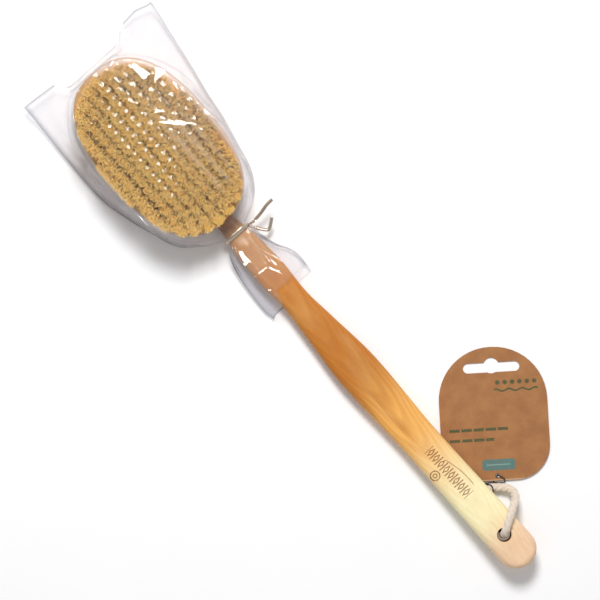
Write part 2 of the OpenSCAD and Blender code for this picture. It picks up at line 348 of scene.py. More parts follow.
class Skin:
    """A procedural material. x, d and z are a point's millimetres across, along and up."""

    def __init__(self, name):
        self.material = bpy.data.materials.new(name)
        self.material.use_nodes = True
        self.tree = self.material.node_tree
        self.shader = self.tree.nodes["Principled BSDF"]
        coordinates = self.node("ShaderNodeTexCoord")
        split = self.node("ShaderNodeSeparateXYZ", Vector=coordinates.outputs["Object"])
        x, y, z = map(Num, split.outputs)
        self.x, self.d, self.z = x / MM, y / MM - END, z / MM

    def node(self, kind, **inputs):
        """A new node with its inputs fed, underscores in their names standing for spaces."""
        node = self.tree.nodes.new(kind)
        for name, value in inputs.items():
            feed(node.inputs[name.replace("_", " ")], value)
        return node

    def attribute(self, name):
        node = self.node("ShaderNodeAttribute")
        node.attribute_name = name
        return Num(node.outputs["Fac"])

    def noise(self, x, y, z, detail=2.0, roughness=0.5):
        """Soft random values about 0.5, one blob a whole step of x, y and z."""
        join = self.node("ShaderNodeCombineXYZ", X=x, Y=y, Z=z)
        node = self.node("ShaderNodeTexNoise", Vector=join.outputs[0], Scale=1,
                         Detail=detail, Roughness=roughness)
        return Num(node.outputs[0])

    def grain(self, across, along, up, detail=2.0, roughness=0.5):
        """Noise with this many blobs a millimetre across, along and up."""
        return self.noise(self.x * across, self.d * along, self.z * up, detail, roughness)

    def mix(self, share, a, b):
        """Colour a where share is 0, b where it is 1."""
        node = self.node("ShaderNodeMix")
        node.data_type = "RGBA"
        for slot, value in ((0, share), (6, a), (7, b)):
            feed(node.inputs[slot], value)
        return node.outputs[2]

    def blend(self, share, a, b):
        """Shader a where share is 0, b where it is 1."""
        return share.node("ShaderNodeMixShader", a.outputs[0], b.outputs[0])

    def coats(self, base, *coats):
        """A base colour under coats, each one a share and a display colour."""
        for share, colour in coats:
            base = self.mix(share, base, rgb(*colour))
        return base

    def bump(self, height, depth):
        """A bump whose height runs from 0 to 1 over depth millimetres."""
        node = self.node("ShaderNodeBump", Strength=1, Distance=depth * MM, Height=height)
        feed(self.shader.inputs["Normal"], node.outputs[0])

    def dress(self, colour, roughness, **fixed):
        """Sets the shader's colour, roughness and other inputs."""
        for name, value in {"Base_Color": colour, "Roughness": roughness, **fixed}.items():
            feed(self.shader.inputs[name.replace("_", " ")], value)
        return self.material


# ---------- Sizes shared with the CAD model, in millimetres ----------

BLOCK_LOW, BLOCK_HIGH = span("head_block")
HANDLE_LENGTH = BLOCK_LOW[1]
HEAD_CENTRE = (BLOCK_LOW[1] + BLOCK_HIGH[1]) / 2
HALF_WIDTH = (BLOCK_HIGH[0] - BLOCK_LOW[0]) / 2
HALF_LENGTH = (BLOCK_HIGH[1] - BLOCK_LOW[1]) / 2
BLOCK_TOP = BLOCK_HIGH[2]
TIP_HEIGHT = span("tuft_row_06")[1][2]
OVAL_POWER = 2.5
ROWS = 11
ROW_SPACING = 6.9
TUFT_PITCH = 5.8
RIM_MARGIN_X = 3
RIM_MARGIN_Y = 4
HOLE_R = 1.6
HOLE_DEPTH = 7.5
NECK_AXIS_Z = 7.1
TENON_R = 4
TENON_TIP_R = TENON_R - 0.6
TENON_END = HANDLE_LENGTH + 24
SOCKET_GAP = 0.15
GRIP_WIDTH = 25.6
END_R = GRIP_WIDTH / 2
EDGE_R = 4.5
EDGE_ANGLE = 40
BELLY_START = 135
BELLY_END = 185
NECK_RISE_END = 235
END_RISE = 10
NECK_RISE = 1.7
HANG_HOLE_R = 4.25
HANG_HOLE_D = 24.5
HANG_HOLE_LIP = 0.9
HANDLE_WIDTHS = [[12.8, 25.6], [49.3, 25.1], [104.4, 24.2], [162.4, 27.6], [200.1, 21.53],
                 [221.85, 17.8], [246.5, 20], [268.25, 17.8], [290, 12.7]]
HANDLE_HEIGHTS = [[0, 12], [58, 12.6], [162.4, 13.5], [220.4, 12.2], [290, 10.8]]
TIE_D = 278.5


# ---------- Wood ----------

def wood_grain(skin, vertex_x, spread, period):
    """Growth rings cut at a shallow angle: nested arches that point to the handle's end."""
    wander = (skin.noise(skin.x * 0.05, skin.d * 0.012, 0.3, 2) - 0.5) * 40
    offset = skin.x - vertex_x - (skin.noise(0.4, skin.d * 0.02, 0.0, 1) - 0.5) * 8
    field = skin.d + wander - offset * offset * spread
    rings = (field / period).fract()
    return rings.rise(0.0, 0.62) * rings.rise(0.74, 1.0).inverse()


def handle_material():
    skin = Skin("handle_wood")
    fibres = skin.grain(3.2, 0.05, 1.5, 4, 0.65)
    pores = skin.grain(5.5, 0.22, 3, 2).rise(0.64, 0.74)
    mottle = skin.noise(skin.x * 0.12, skin.d * 0.03, 0.7, 3)
    arches = wood_grain(skin, -0.7, 0.42, 21)
    streaks = skin.noise(skin.x * 0.32, skin.d * 0.014, 5.2, 2).rise(0.5, 0.62)
    streaks = streaks * skin.x.rise(2, -6) * skin.d.band(105, 165, 14)

    strength = skin.d.rise(60, 165) * 0.36 + 0.1
    burn = burnt_mark(skin)
    from_hole = skin.x.hypot(skin.d - HANG_HOLE_D)
    # The wood's colours along the handle, partly a painted highlight at the grip, then what lies over them,
    # with painted shade at the neck and round the hang hole
    base = skin.coats(
        rgb(240, 204, 168),
        # Partly the wood's own paler colour, partly a painted highlight where the varnish shines at the
        # grip
        (skin.d.rise(14, 44), (253, 244, 196)),
        (skin.d.rise(50, 116), (244, 180, 92)),
        (skin.d.rise(118, 168), (192, 119, 40)),
        (skin.d.rise(180, 215), (198, 126, 48)),
        (skin.d.rise(236, 262), (196, 146, 92)),
        # Painted shade: the neck is darker where the gathered film over it takes away light
        (skin.d.rise(279, 286), (128, 92, 66)),
        (arches * strength * 0.75, (176, 100, 36)),
        (streaks * 0.75, (184, 114, 44)),
        (mottle.rise(0.4, 0.7) * 0.12, (255, 222, 150)),
        (fibres.rise(0.42, 0.72) * 0.2, (180, 110, 46)),
        (pores * 0.22, (120, 70, 32)),
        (burn * 0.9, (134, 72, 32)),
        # Painted shade in the hang hole and on its rounded rim
        (from_hole.rise(HANG_HOLE_R + 0.45, HANG_HOLE_R + 0.1), (92, 54, 30)))
    skin.bump(fibres * 0.3 + pores.inverse() * 0.25 + burn.inverse() * 0.5, 0.12)
    roughness = fibres * 0.16 + burn * 0.2 + 0.42
    return skin.dress(base, roughness, Coat_Weight=0.05, Coat_Roughness=0.35, Specular_IOR_Level=0.25)


def burnt_mark(skin):
    """A plain burnt border on the grip: a row of diamonds and bars, two rings and a curved line."""
    row_x, row_start, row_end, pitch = 0.1, 58, 96, 4.75
    along = ((skin.d - row_start) / pitch).fract() * pitch - pitch / 2
    across = (skin.x - row_x).abs()
    from_middle = along.abs() * 1.5 + across * 0.62
    diamonds = from_middle.rise(2.5, 2.1)
    hollow = from_middle.rise(1.35, 1.0)
    bars = (along.abs() - pitch / 2).abs().rise(0.5, 0.32) * across.rise(3.9, 3.6)
    row = (diamonds.max(bars) - hollow).max(0.0) * skin.d.band(row_start, row_end, 0.15)

    ring_x, ring_d, outer_r, inner_r = -7.9, 81, 3.0, 1.2
    far = (skin.x - ring_x).hypot(skin.d - ring_d)
    rings = (far - outer_r).abs().rise(0.5, 0.3).max((far - inner_r).abs().rise(0.5, 0.3))

    bow_x, bow_bend = 6.9, 0.008
    from_bow = skin.d - 64
    bow = skin.x - bow_x + from_bow * from_bow * bow_bend
    line = bow.abs().rise(0.4, 0.22) * skin.d.band(61, 84, 1.5)
    worn = skin.noise(skin.x * 1.8, skin.d * 1.8, 0.0, 3).rise(0.28, 0.52)
    return row.max(rings).max(line * 0.8) * worn


def block_material():
    skin = Skin("block_wood")
    fibres = skin.grain(2.6, 0.06, 2.2, 4, 0.6)
    rings = wood_grain(skin, 6, 0.1, 13)
    base = skin.coats(rgb(212, 162, 92), (rings * 0.35, (184, 130, 64)),
                      (fibres.rise(0.4, 0.72) * 0.3, (164, 110, 50)))
    skin.bump(fibres, 0.1)
    return skin.dress(base, fibres * 0.2 + 0.3, Coat_Weight=0.25, Coat_Roughness=0.2)


def underside(d):
    """Height of the handle's underside: up at its end, flat at its belly, a little up at its neck."""
    if d < BELLY_START:
        return END_RISE * (1 - d / BELLY_START) ** 1.4
    return NECK_RISE * float(ease((d - BELLY_END) / (NECK_RISE_END - BELLY_END)))


def handle_width(d):
    if d < END_R:
        return 2 * math.sqrt(END_R**2 - (END_R - d) ** 2)
    return float(at_stations(HANDLE_WIDTHS, d))


def handle_top(d):
    return underside(d) + float(at_stations(HANDLE_HEIGHTS, d))


def handle_ring(d):
    draw_in = 0 if d >= EDGE_R else EDGE_R - math.sqrt(EDGE_R**2 - (EDGE_R - d) ** 2)
    return rounded_ring(d, handle_width(d), underside(d) + draw_in, handle_top(d) - draw_in,
                        EDGE_R, crown=0.3)


def add_handle():
    round_end = END_R * (1 - np.cos(np.radians(np.linspace(4, 88, 22))))
    shaft = np.arange(END_R, HANDLE_LENGTH - 1, 1.6)
    shoulder = HANDLE_LENGTH - SOCKET_GAP
    rings = [handle_ring(d) for d in (*round_end, *shaft, shoulder - 0.5, shoulder)]
    a = np.arctan2(rings[-1][:, 2] - NECK_AXIS_Z, rings[-1][:, 0])
    for d, r in ((shoulder, TENON_R), (TENON_END - 0.8, TENON_R), (TENON_END, TENON_TIP_R)):
        rings.append(ring(r * np.cos(a), d, NECK_AXIS_Z + r * np.sin(a)))

    # A spool cuts the hole, so that both of its rims come out rounded
    top, low, lip = handle_top(HANG_HOLE_D), underside(HANG_HOLE_D), HANG_HOLE_LIP
    levels = [(low - 2, lip), (low, lip), (low + 0.35, 0.35), (low + lip, 0), (top - lip, 0),
              (top - 0.35, 0.35), (top, lip), (top + 2, lip)]
    turn = circle(48)
    spool = []
    for z, out in levels:
        r = HANG_HOLE_R + out
        spool.append(ring(r * np.cos(turn), HANG_HOLE_D + r * np.sin(turn), z))
    add_piece("wood_handle", loft(np.array(rings)), "brush", handle_material(), "handle",
              cutter=loft(np.array(spool)), sharp_angle=EDGE_ANGLE)


def oval(inset, points=240):
    """x and d round the block's oval, drawn in by inset."""
    c, s = np.cos(circle(points)), np.sin(circle(points))
    x = (HALF_WIDTH - inset) * np.sign(c) * np.abs(c) ** (2 / OVAL_POWER)
    y = (HALF_LENGTH - inset) * np.sign(s) * np.abs(s) ** (2 / OVAL_POWER)
    return x, HEAD_CENTRE + y


def rod(x, d, z, length, radius, axis, points=16):
    """A straight rod from x, d, z along +Z or +Y."""
    side, rise = radius * np.cos(circle(points)), radius * np.sin(circle(points))
    if axis == "z":
        return loft(np.array([ring(x + side, d + rise, z + along) for along in (0, length)]))
    return loft(np.array([ring(x + side, d + along, z + rise) for along in (0, length)]))


def row_x(row):
    return (row - (ROWS - 1) / 2) * ROW_SPACING


def row_places(row):
    """Distances of the tufts in one row from the middle of the head."""
    reach = abs(row_x(row)) / (HALF_WIDTH - RIM_MARGIN_X)
    half = (HALF_LENGTH - RIM_MARGIN_Y) * (1 - reach**OVAL_POWER) ** (1 / OVAL_POWER)
    shift = TUFT_PITCH / 2 if row % 2 == 0 else 0
    most = math.floor((half - shift) / TUFT_PITCH)
    first = -most - 1 if shift else -most
    return [shift + j * TUFT_PITCH for j in range(first, most + 1)]


def add_block():
    bottom, top = BLOCK_LOW[2], BLOCK_TOP
    # Height, and how far the oval is drawn in there
    levels = [(bottom, 3.6), (bottom + 0.1, 2.9), (bottom + 0.4, 2.0), (bottom + 0.7, 1.3),
              (bottom + 1.1, 0.7), (bottom + 1.6, 0.2), (bottom + 2.2, 0),
              (top - 1.6, 0), (top - 0.8, 0.12), (top - 0.3, 0.4), (top, 1.0)]
    rings = [ring(*oval(inset), z) for z, inset in levels]
    holes = [rod(row_x(row), HEAD_CENTRE + y, top - HOLE_DEPTH, HOLE_DEPTH + 1, HOLE_R, "z")
             for row in range(ROWS) for y in row_places(row)]
    socket_length = TENON_END - HANDLE_LENGTH + 3
    holes.append(rod(0, HANDLE_LENGTH - 2, NECK_AXIS_Z, socket_length, TENON_R + SOCKET_GAP, "y", 32))
    add_piece("wood_block", loft(np.array(rings)), "brush", block_material(), "head_block",
              cutter=joined(*holes), sharp_angle=EDGE_ANGLE)


add_handle()
add_block()


# ---------- Bristles ----------

STRANDS = 190
STRAND_LEVELS = np.array([0, 0.3, 0.6, 0.85, 1])[:, None]
STRAND_SIDES = np.radians([45, 135, 225, 315])[:, None, None]
STRAND_R = (0.15, 0.21)
STRAND_BELOW_FILM = 0.25
BURIED = 5.5
ROOT_REACH = 1.32
TIP_SPREAD = (2.7, 2.55)
TIP_SCATTER = 0.7
BEND_SCATTER = 0.22
RIM_SPREAD = 8.5
LEAN_X = -2.1
LEAN_D = -1.8
# The tips' own oval: its middle across, and how its half sizes differ from the block's
TIPS_X = LEAN_X * 0.6
TIPS_WIDER = 0.2
TIPS_SHORTER = 1.2
TIPS_LONGER = 2.6
# Tips beyond this share of the way to their rim are held back
SOFT_RIM = 0.86


def oval_reach(across, along):
    """1 on the rounded oval of the head, less inside it and more outside."""
    return (np.abs(across) ** OVAL_POWER + np.abs(along) ** OVAL_POWER) ** (1 / OVAL_POWER)


class Rim:
    """Where points x, d lie against the rim of the bristles' tips."""

    def __init__(self, x, d):
        self.dx, self.y = x - TIPS_X, d - (HEAD_CENTRE + LEAN_D)
        half_length = np.where(self.y > 0, HALF_LENGTH - TIPS_SHORTER, HALF_LENGTH + TIPS_LONGER)
        across, along = self.dx / (HALF_WIDTH + TIPS_WIDER), self.y / half_length
        self.reach = oval_reach(across, along)
        self.angle = np.arctan2(along, across)
        self.far = np.hypot(self.dx, self.y)
        self.rim_far = self.far / np.maximum(self.reach, 1e-6)
        self.past = self.far - self.rim_far


def splayed(x, y, tips, spread):
    """The tips of a tuft rooted at x, y: pushed out by their spread near the rim, and kept inside it."""
    across, along = x / HALF_WIDTH, y / HALF_LENGTH
    outward = np.array([across / HALF_WIDTH, along / HALF_LENGTH])
    near_rim = float(ease((oval_reach(across, along) - 0.62) / 0.25))
    outward = outward / max(np.linalg.norm(outward), 1e-6) * near_rim
    tips = tips + spread[:, None] * outward
    rim = Rim(x + tips[:, 0], HEAD_CENTRE + y + tips[:, 1])
    slack = 1 - SOFT_RIM
    held = SOFT_RIM + slack * (1 - np.exp((SOFT_RIM - rim.reach) / slack))
    kept = np.where(rim.reach > SOFT_RIM, held, rim.reach) / np.maximum(rim.reach, 1e-6)
    return np.stack([TIPS_X + rim.dx * kept - x, LEAN_D + rim.y * kept - y], axis=1)


def bristle_material():
    skin = Skin("bristle")
    tone = skin.attribute("strand_tone")
    height = (skin.z - BLOCK_TOP) / (TIP_HEIGHT - BLOCK_TOP)
    streak = skin.grain(6, 6, 0.5, 2)
    dark = skin.mix(tone, rgb(240, 160, 52), rgb(252, 196, 84))
    light = skin.mix(tone, rgb(255, 196, 92), rgb(255, 236, 158))
    colour = skin.coats(skin.mix(height.rise(0.3, 0.95), dark, light),
                        (streak.rise(0.58, 0.78) * 0.25, (134, 88, 38)))
    return skin.dress(colour, streak * 0.3 + 0.3, Sheen_Weight=0.2, Specular_IOR_Level=0.3)


def tuft_row(row, material, random):
    """The strands of one row of tufts, each a thin tapered rod with a slight bend."""
    x0 = row_x(row)
    points, tones = [], []
    for y in row_places(row):
        turn = random.uniform(0, 2 * math.pi, STRANDS)
        out = ROOT_REACH * np.sqrt((np.arange(STRANDS) + 0.5) / STRANDS)
        root = np.stack([out * np.cos(turn), out * np.sin(turn)], axis=1)
        tip = root * TIP_SPREAD + (LEAN_X, LEAN_D) + random.normal(0, TIP_SCATTER, (STRANDS, 2))
        tip = splayed(x0, y, tip, RIM_SPREAD * random.uniform(0, 1, STRANDS) ** 2)
        bend = random.normal(0, BEND_SCATTER, (STRANDS, 2))
        shorter = STRAND_BELOW_FILM + random.uniform(0, 1.0, STRANDS) ** 2 + 0.1 * out**2
        length = TIP_HEIGHT - BLOCK_TOP - shorter
        thick = random.uniform(*STRAND_R, STRANDS)
        tones.append(random.uniform(0, 1, STRANDS))
        t = STRAND_LEVELS
        way, bow = 0.35 * t + 0.65 * t**2, 4 * t * (1 - t)
        centre = root + (tip - root) * way[..., None] + bend * bow[..., None]
        radius = thick * (1 - 0.05 * t)
        points.append(ring(x0 + centre[..., 0] + radius * np.cos(STRAND_SIDES),
                           HEAD_CENTRE + y + centre[..., 1] + radius * np.sin(STRAND_SIDES),
                           BLOCK_TOP - BURIED * (t == 0) + length * t))
    # From corners, levels and strands to strands, levels and corners
    points = np.array(points).transpose(0, 3, 2, 1, 4)
    one_strand = loft(points[0, 0])[1]
    size = points[0, 0, ..., 0].size
    points = points.reshape(-1, 3)
    faces = [[start + i for i in face] for start in range(0, len(points), size) for face in one_strand]
    strands = add_piece(f"bristles_row_{row + 1:02d}", (points, faces), "brush", material,
                        f"tuft_row_{row + 1:02d}")
    store(strands, "strand_tone", np.repeat(tones, size))


def add_bristles():
    material = bristle_material()
    random = np.random.default_rng(7)
    for row in range(ROWS):
        tuft_row(row, material, random)


def steel_material():
    skin = Skin("anchor_wire")
    drawn = skin.grain(1.5, 8, 8, 2)
    skin.bump(drawn, 0.02)
    colour = skin.mix(drawn, rgb(190, 190, 186), rgb(160, 160, 158))
    return skin.dress(colour, drawn * 0.2 + 0.25, Metallic=1.0)


add_bristles()
paint(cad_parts["tuft_anchors"], steel_material())


# ---------- Bag of clear film ----------

HEM = 224
SEAL = 428
HEAD_START = 283
HEAD_FULL = 300
NECK_RINGS = 76
SHOULDER_RINGS = 40
HEAD_RINGS = 190
TOP_COLUMNS = 170
BOTTOM_COLUMNS = 60
SEAL_MIDDLE = 3
SEAL_HEIGHT = 8.5
SEAL_THICKNESS = 0.24
FILM_CREST = TIP_HEIGHT + 1.2
# The bag's sides as x, then heights of its edge, its neck's top and its underside
LEFT_EDGE = [[224, -18.5], [231, -19.8], [248, -18.6], [262, -16], [270, -13.5], [275.5, -9.8],
             [278.5, -8.3], [281, -9.8], [286, -20], [297, -33], [314, -40], [333, -46], [353, -50],
             [390, -49.5], [428, -47.5]]
RIGHT_EDGE = [[224, 20], [235, 20.9], [249, 18.5], [257, 14.8], [264, 12.4], [271, 11], [275.5, 9.4],
              [278.5, 8.3], [281, 9.8], [286, 20], [293, 28], [304, 34.5], [320, 38.5], [341, 43.4],
              [356, 45.5], [378, 49.7], [404, 54], [428, 57]]
EDGE_HEIGHT = [[224, 2.2], [250, 3.6], [270, 6.4], [278.5, 7.3], [286, 7.4], [300, 4.6], [330, 3],
               [390, 3.4], [412, 5], [428, 8.5]]
SLEEVE_HEIGHT = [[224, 16.6], [240, 16.6], [255, 15.8], [268, 14.8], [278.5, 13.7], [284, 17], [292, 21]]
FLOOR_HEIGHT = [[224, 0.5], [262, 0.6], [278.5, 0.9], [290, 0.5], [305, 0.2], [410, 0.2], [428, 7]]
# Flat facets between creases: x, d, heading in degrees, length, width at start and end
CREASES = [
    [22.6, 394.5, 96, 14, 7.4, 4.2], [28.6, 384.6, 26, 13, 1.2, 8.5], [14.2, 358.5, -43, 13, 2.2, 5.2],
    [22.8, 350.5, -43, 13, 5.2, 1.6], [14.6, 367, -30, 8, 1.6, 3], [6.5, 383, 120, 8, 1.6, 2.6],
    [-6.4, 264.5, 80, 11, 5.6, 3], [-4.7, 250.4, 180, 11, 2, 1.8], [3.4, 244, 112, 12, 1.2, 2.2],
    [-7, 237.4, 165, 4.5, 2.4, 2], [-6.2, 232.4, 165, 4, 2.2, 1.8], [33, 372, 80, 8, 1.6, 2.8],
    [8, 401, 95, 9, 2, 1.4], [37.5, 345, 95, 12, 1.4, 2.4], [14, 410, 20, 9, 1.2, 2],
    [-38.6, 327, 94, 20, 1, 1.8], [-8, 412.4, 5, 8, 1, 1.6], [5, 413, -4, 9, 1.2, 1]]


def glint_slope(x, d):
    """The slope at which film at x, d mirrors the key light to the camera."""
    spot = Vector(place([x, d, TIP_HEIGHT]).tolist())
    to_camera = CAMERA_PLACE - spot
    half = (KEY_PLACE - spot).normalized() + to_camera.normalized()
    return -half.x / half.z, -half.y / half.z


def creased(x, d, z):
    """Presses the flat facets into the film's heights, and tells where they are."""
    pressed = np.zeros(z.shape)
    for cx, cd, heading, length, start, end in CREASES:
        a = math.radians(heading)
        along = (x - cx) * math.cos(a) + (d - cd) * math.sin(a)
        across = -(x - cx) * math.sin(a) + (d - cd) * math.cos(a)
        share = np.clip(along / length + 0.5, 0, 1)
        half = (start + (end - start) * share) / 2
        mask = ease((length / 2 - np.abs(along)) / 1.2 + 0.5)
        mask = mask * ease((half - np.abs(across)) / 0.9 + 0.5)
        near = np.argmin(np.hypot(x - cx, d - cd))
        slope = glint_slope(cx, cd)
        plane = z.flat[near] + 0.25 + slope[0] * (x - cx) + slope[1] * (d - cd)
        z = z + (plane - z) * mask
        pressed = np.maximum(pressed, mask)
    return z, pressed


def dimpled(x, d):
    """1 where the film is drawn tight over each tuft, 0 where it only rests on the rows."""
    off_line = np.abs(d - 364 - 1.2 * (x + 4))
    return ease((36 - off_line) / 8) * ease((x + 21) / 5) * ease((9 - x) / 4)


def tents(x, d):
    """Film over the tips: a rounded ridge on each row, drawn down a little between its tufts."""
    y = d - HEAD_CENTRE
    root_x = x - LEAN_X
    root_x = np.where(root_x > 0, root_x / 1.02, root_x)
    row = np.clip(np.round(root_x / ROW_SPACING + (ROWS - 1) / 2), 0, ROWS - 1)
    off_x = root_x - row_x(row)
    phase = np.where(row % 2 == 0, 0.5, 0.0)
    off_d = ((y - LEAN_D) / TUFT_PITCH - phase) % 1.0
    valley = 1 - np.abs(np.cos(math.pi * off_x / ROW_SPACING))
    dip = (1 - np.cos(2 * math.pi * off_d)) / 2
    taut = dimpled(x, d)
    slack = ease((x + 2 + 0.12 * y) / 14) * ease((y + 18) / 16)
    creases = 0.42 * np.abs(np.sin(0.5 * x + 0.33 * d)) + 0.36 * np.abs(np.sin(0.27 * x - 0.44 * d + 1))
    sag = 0.5 * np.sin(0.06 * x - 0.045 * y + 0.6) + 0.35 * np.sin(0.03 * x + 0.085 * y)
    return (FILM_CREST - 0.75 * valley * (1 - 0.35 * slack) - (0.04 + 0.27 * taut) * dip + 0.35 * sag
            - creases * slack * 0.8 - 0.1)


def times_to(offset, low, high):
    """How many times an offset fits into the way to the bound that it heads for."""
    return np.where(offset > 0, high / np.maximum(offset, 1e-6), low / np.minimum(offset, -1e-6))


def head_heights(x, d, left, right, edge):
    """The film over the head, and down from its rim to the bag's flat sides."""
    rim = Rim(x, d)
    side = times_to(rim.dx, left - TIPS_X, right - TIPS_X)
    ends = times_to(rim.y, TIE_D - HEAD_CENTRE, SEAL - HEAD_CENTRE)
    room = rim.far * np.minimum(side, ends) - rim.rim_far
    reach = np.clip(0.72 * room, 4.5, 17)
    angle = rim.angle
    pleat = 0.6 * np.cos(26 * angle + 0.7) + 0.4 * np.cos(41 * angle + 2.1) + 0.35 * np.cos(15 * angle)
    s = np.clip(1 - rim.past / (reach * (1 + 0.14 * pleat)), 0, 1)
    drop = 0.45 * ease(s) + 0.55 * s**1.25
    wing = edge + 1.1 * (1 - np.abs(2 * (x - left) / (right - left) - 1) ** 6)
    wing = wing + 0.55 * np.sin(0.16 * x + 0.1 * d) * np.sin(0.07 * d - 0.12 * x + 1) * (drop < 0.02)
    ruffle = 0.5 * pleat * drop * (1 - drop) * 4 * ease((room - 5) / 12)
    return wing + (tents(x, d) - wing) * drop + ruffle


def drawn_in(x, d, is_top):
    """Places along the bag once its hem reaches further back at the left and its seal is drawn in."""
    hem_pull = 11 * ease((x + 9) / 5) - 1.5 * ease((-x - 15) / 4)
    off_middle = np.abs(x - SEAL_MIDDLE)
    seal_pull = 7.6 * (1 - ease((off_middle - 19) / 9)) + 3.2 * ease((x - 44) / 12)
    seal_pull = seal_pull + 1.6 * (1 - ease((off_middle - 24) / 26))
    return (d + hem_pull * (1 - ease((d - HEM) / 34)) * np.where(is_top, 1, 0.5)
            - seal_pull * ease((d - 400) / 28))


def film_heights(x, d, d_real, t, head, left, right, edge):
    """Heights of the upper and lower film. t runs from 0 at the bag's middle to 1 at its sides."""
    sleeve, floor = at_stations(SLEEVE_HEIGHT, d), at_stations(FLOOR_HEIGHT, d)
    tube = (1 - t**2.6) ** (1 / 2.6)
    inner = np.array([handle_width(min(v, HANDLE_LENGTH)) / 2 + 0.6 for v in d[:, 0]])[:, None]
    flap_width = np.maximum((right - left) / 2 - np.abs(left + right) / 2 - inner, 1.5)
    flap = 1 - ease(np.clip((np.abs(x) - inner) / flap_width, 0, 1) ** 0.8)
    loose = ease(np.abs(d - TIE_D) / 16)
    neck_top = edge + (sleeve - edge) * (tube * (1 - loose) + flap * loose)
    top = neck_top + (head_heights(x, d_real, left, right, edge) - neck_top) * head
    fold = 0.55 * np.sqrt(np.clip(1 - t**14, 0, 1))
    low = edge - (edge - floor) * np.where(head > 0.5, (1 - t**3.2) ** (1 / 1.6), tube) - fold * 0.6
    return top + fold, np.maximum(low, 0.12)


def gathers(q, d):
    """How far the film stands out in gathers, which run out from the tie and die away."""
    away = np.abs(d - TIE_D)
    depth = (0.22 + 1.15 * ease(away / 7)) * (1 - ease((away - 6) / 34)) + 0.25 * (d < TIE_D)
    waves = np.cos(14.5 * q + 0.8) + 0.65 * np.cos(25 * q + 2.2 + 0.03 * d) + 0.5 * np.cos(39 * q + 0.4)
    return (0.35 - np.abs(waves / 1.6) ** 0.8) * depth


def low_side(d):
    """1 along the lower half of the head, where the bag's left side is folded over."""
    return ease((376 - d) / 20) * ease((d - 292) / 12)


def painted_fold_shade(x, d, rim, from_left, from_right, head, is_top):
    """Painted shade where folds, the seal, the hem and the head's rim show as grey lines in the film, and
    painted shadow over the left of the skirt.
    """
    flat = 1 - ease((14 - np.abs(d - TIE_D)) / 8)
    patchy = 0.6 + 0.4 * np.sin(7 * rim.angle + 1.5) * np.sin(3 * rim.angle)
    rim_line = 0.75 * hump((rim.past - 0.6) / 0.8) * patchy
    outer_line = 0.5 * hump((rim.past - 5 - 1.5 * np.sin(5 * rim.angle)) / 0.8) * (1 - patchy * 0.7)
    lines = [
        hump(from_left / 2) * 0.55 * flat,
        hump(from_right / 1.6) * 0.4 * flat,
        # Painted shade: a dark line down the folded left side of the bag beside the head
        low_side(d) * 0.8 * hump(from_left / 1.7),
        hump((SEAL - d) / 1.2) * (0.55 - 0.4 * hump((x - 2) / 17)),
        hump((d - HEM) / 0.8) * np.where(x < -8, 0.9, 0.25),
        np.where(is_top, np.maximum(rim_line, outer_line), 0) * head,
        # Painted shadow over the left of the skirt
        0.3 * ease((-10.5 - x) / 3) * ease((272 - d) / 8)]
    return np.maximum.reduce(np.broadcast_arrays(*lines))


def sheen_and_haze(x, d, rim, from_left, head, inside):
    """Painted sheen and haze in the film: painted reflections over the right of the head, along its rim, on
    some crests and down the bag's left side, and milky haze over the head and the neck.
    """
    off_crest = ((x - LEAN_X) / ROW_SPACING + 0.5) % 1.0 - 0.5
    crest_sheen = hump(off_crest * ROW_SPACING / 1.3) * ease((x - 4) / 4) * ease((28 - x) / 4)
    crest_sheen = crest_sheen * ease((d - 298) / 14) * ease((364 - d) / 14)
    right_sheen = ease((x + 4) / 24) * ease((rim.y + 34) / 30) * inside
    rim_sheen = np.where(rim.dx > 0, 1.35 * hump((rim.past + 0.2) / 2.2), 0.55 * hump((rim.past - 2.5) / 2.8))
    haze_and_sheen = (0.03 * inside + 0.14 * right_sheen + 0.3 * crest_sheen + 0.7 * rim_sheen) * head + 0.13 * (1 - head)
    # Painted highlights down the bag's left side beside the head, the last one just inside its folded lower
    # left edge
    haze_and_sheen = haze_and_sheen + 0.3 * ease((-36 - x) / 4) * ease((376 - d) / 20) * ease((d - 290) / 14)
    return np.clip(haze_and_sheen + 0.45 * low_side(d) * hump((from_left - 4.5) / 2), 0, 1)


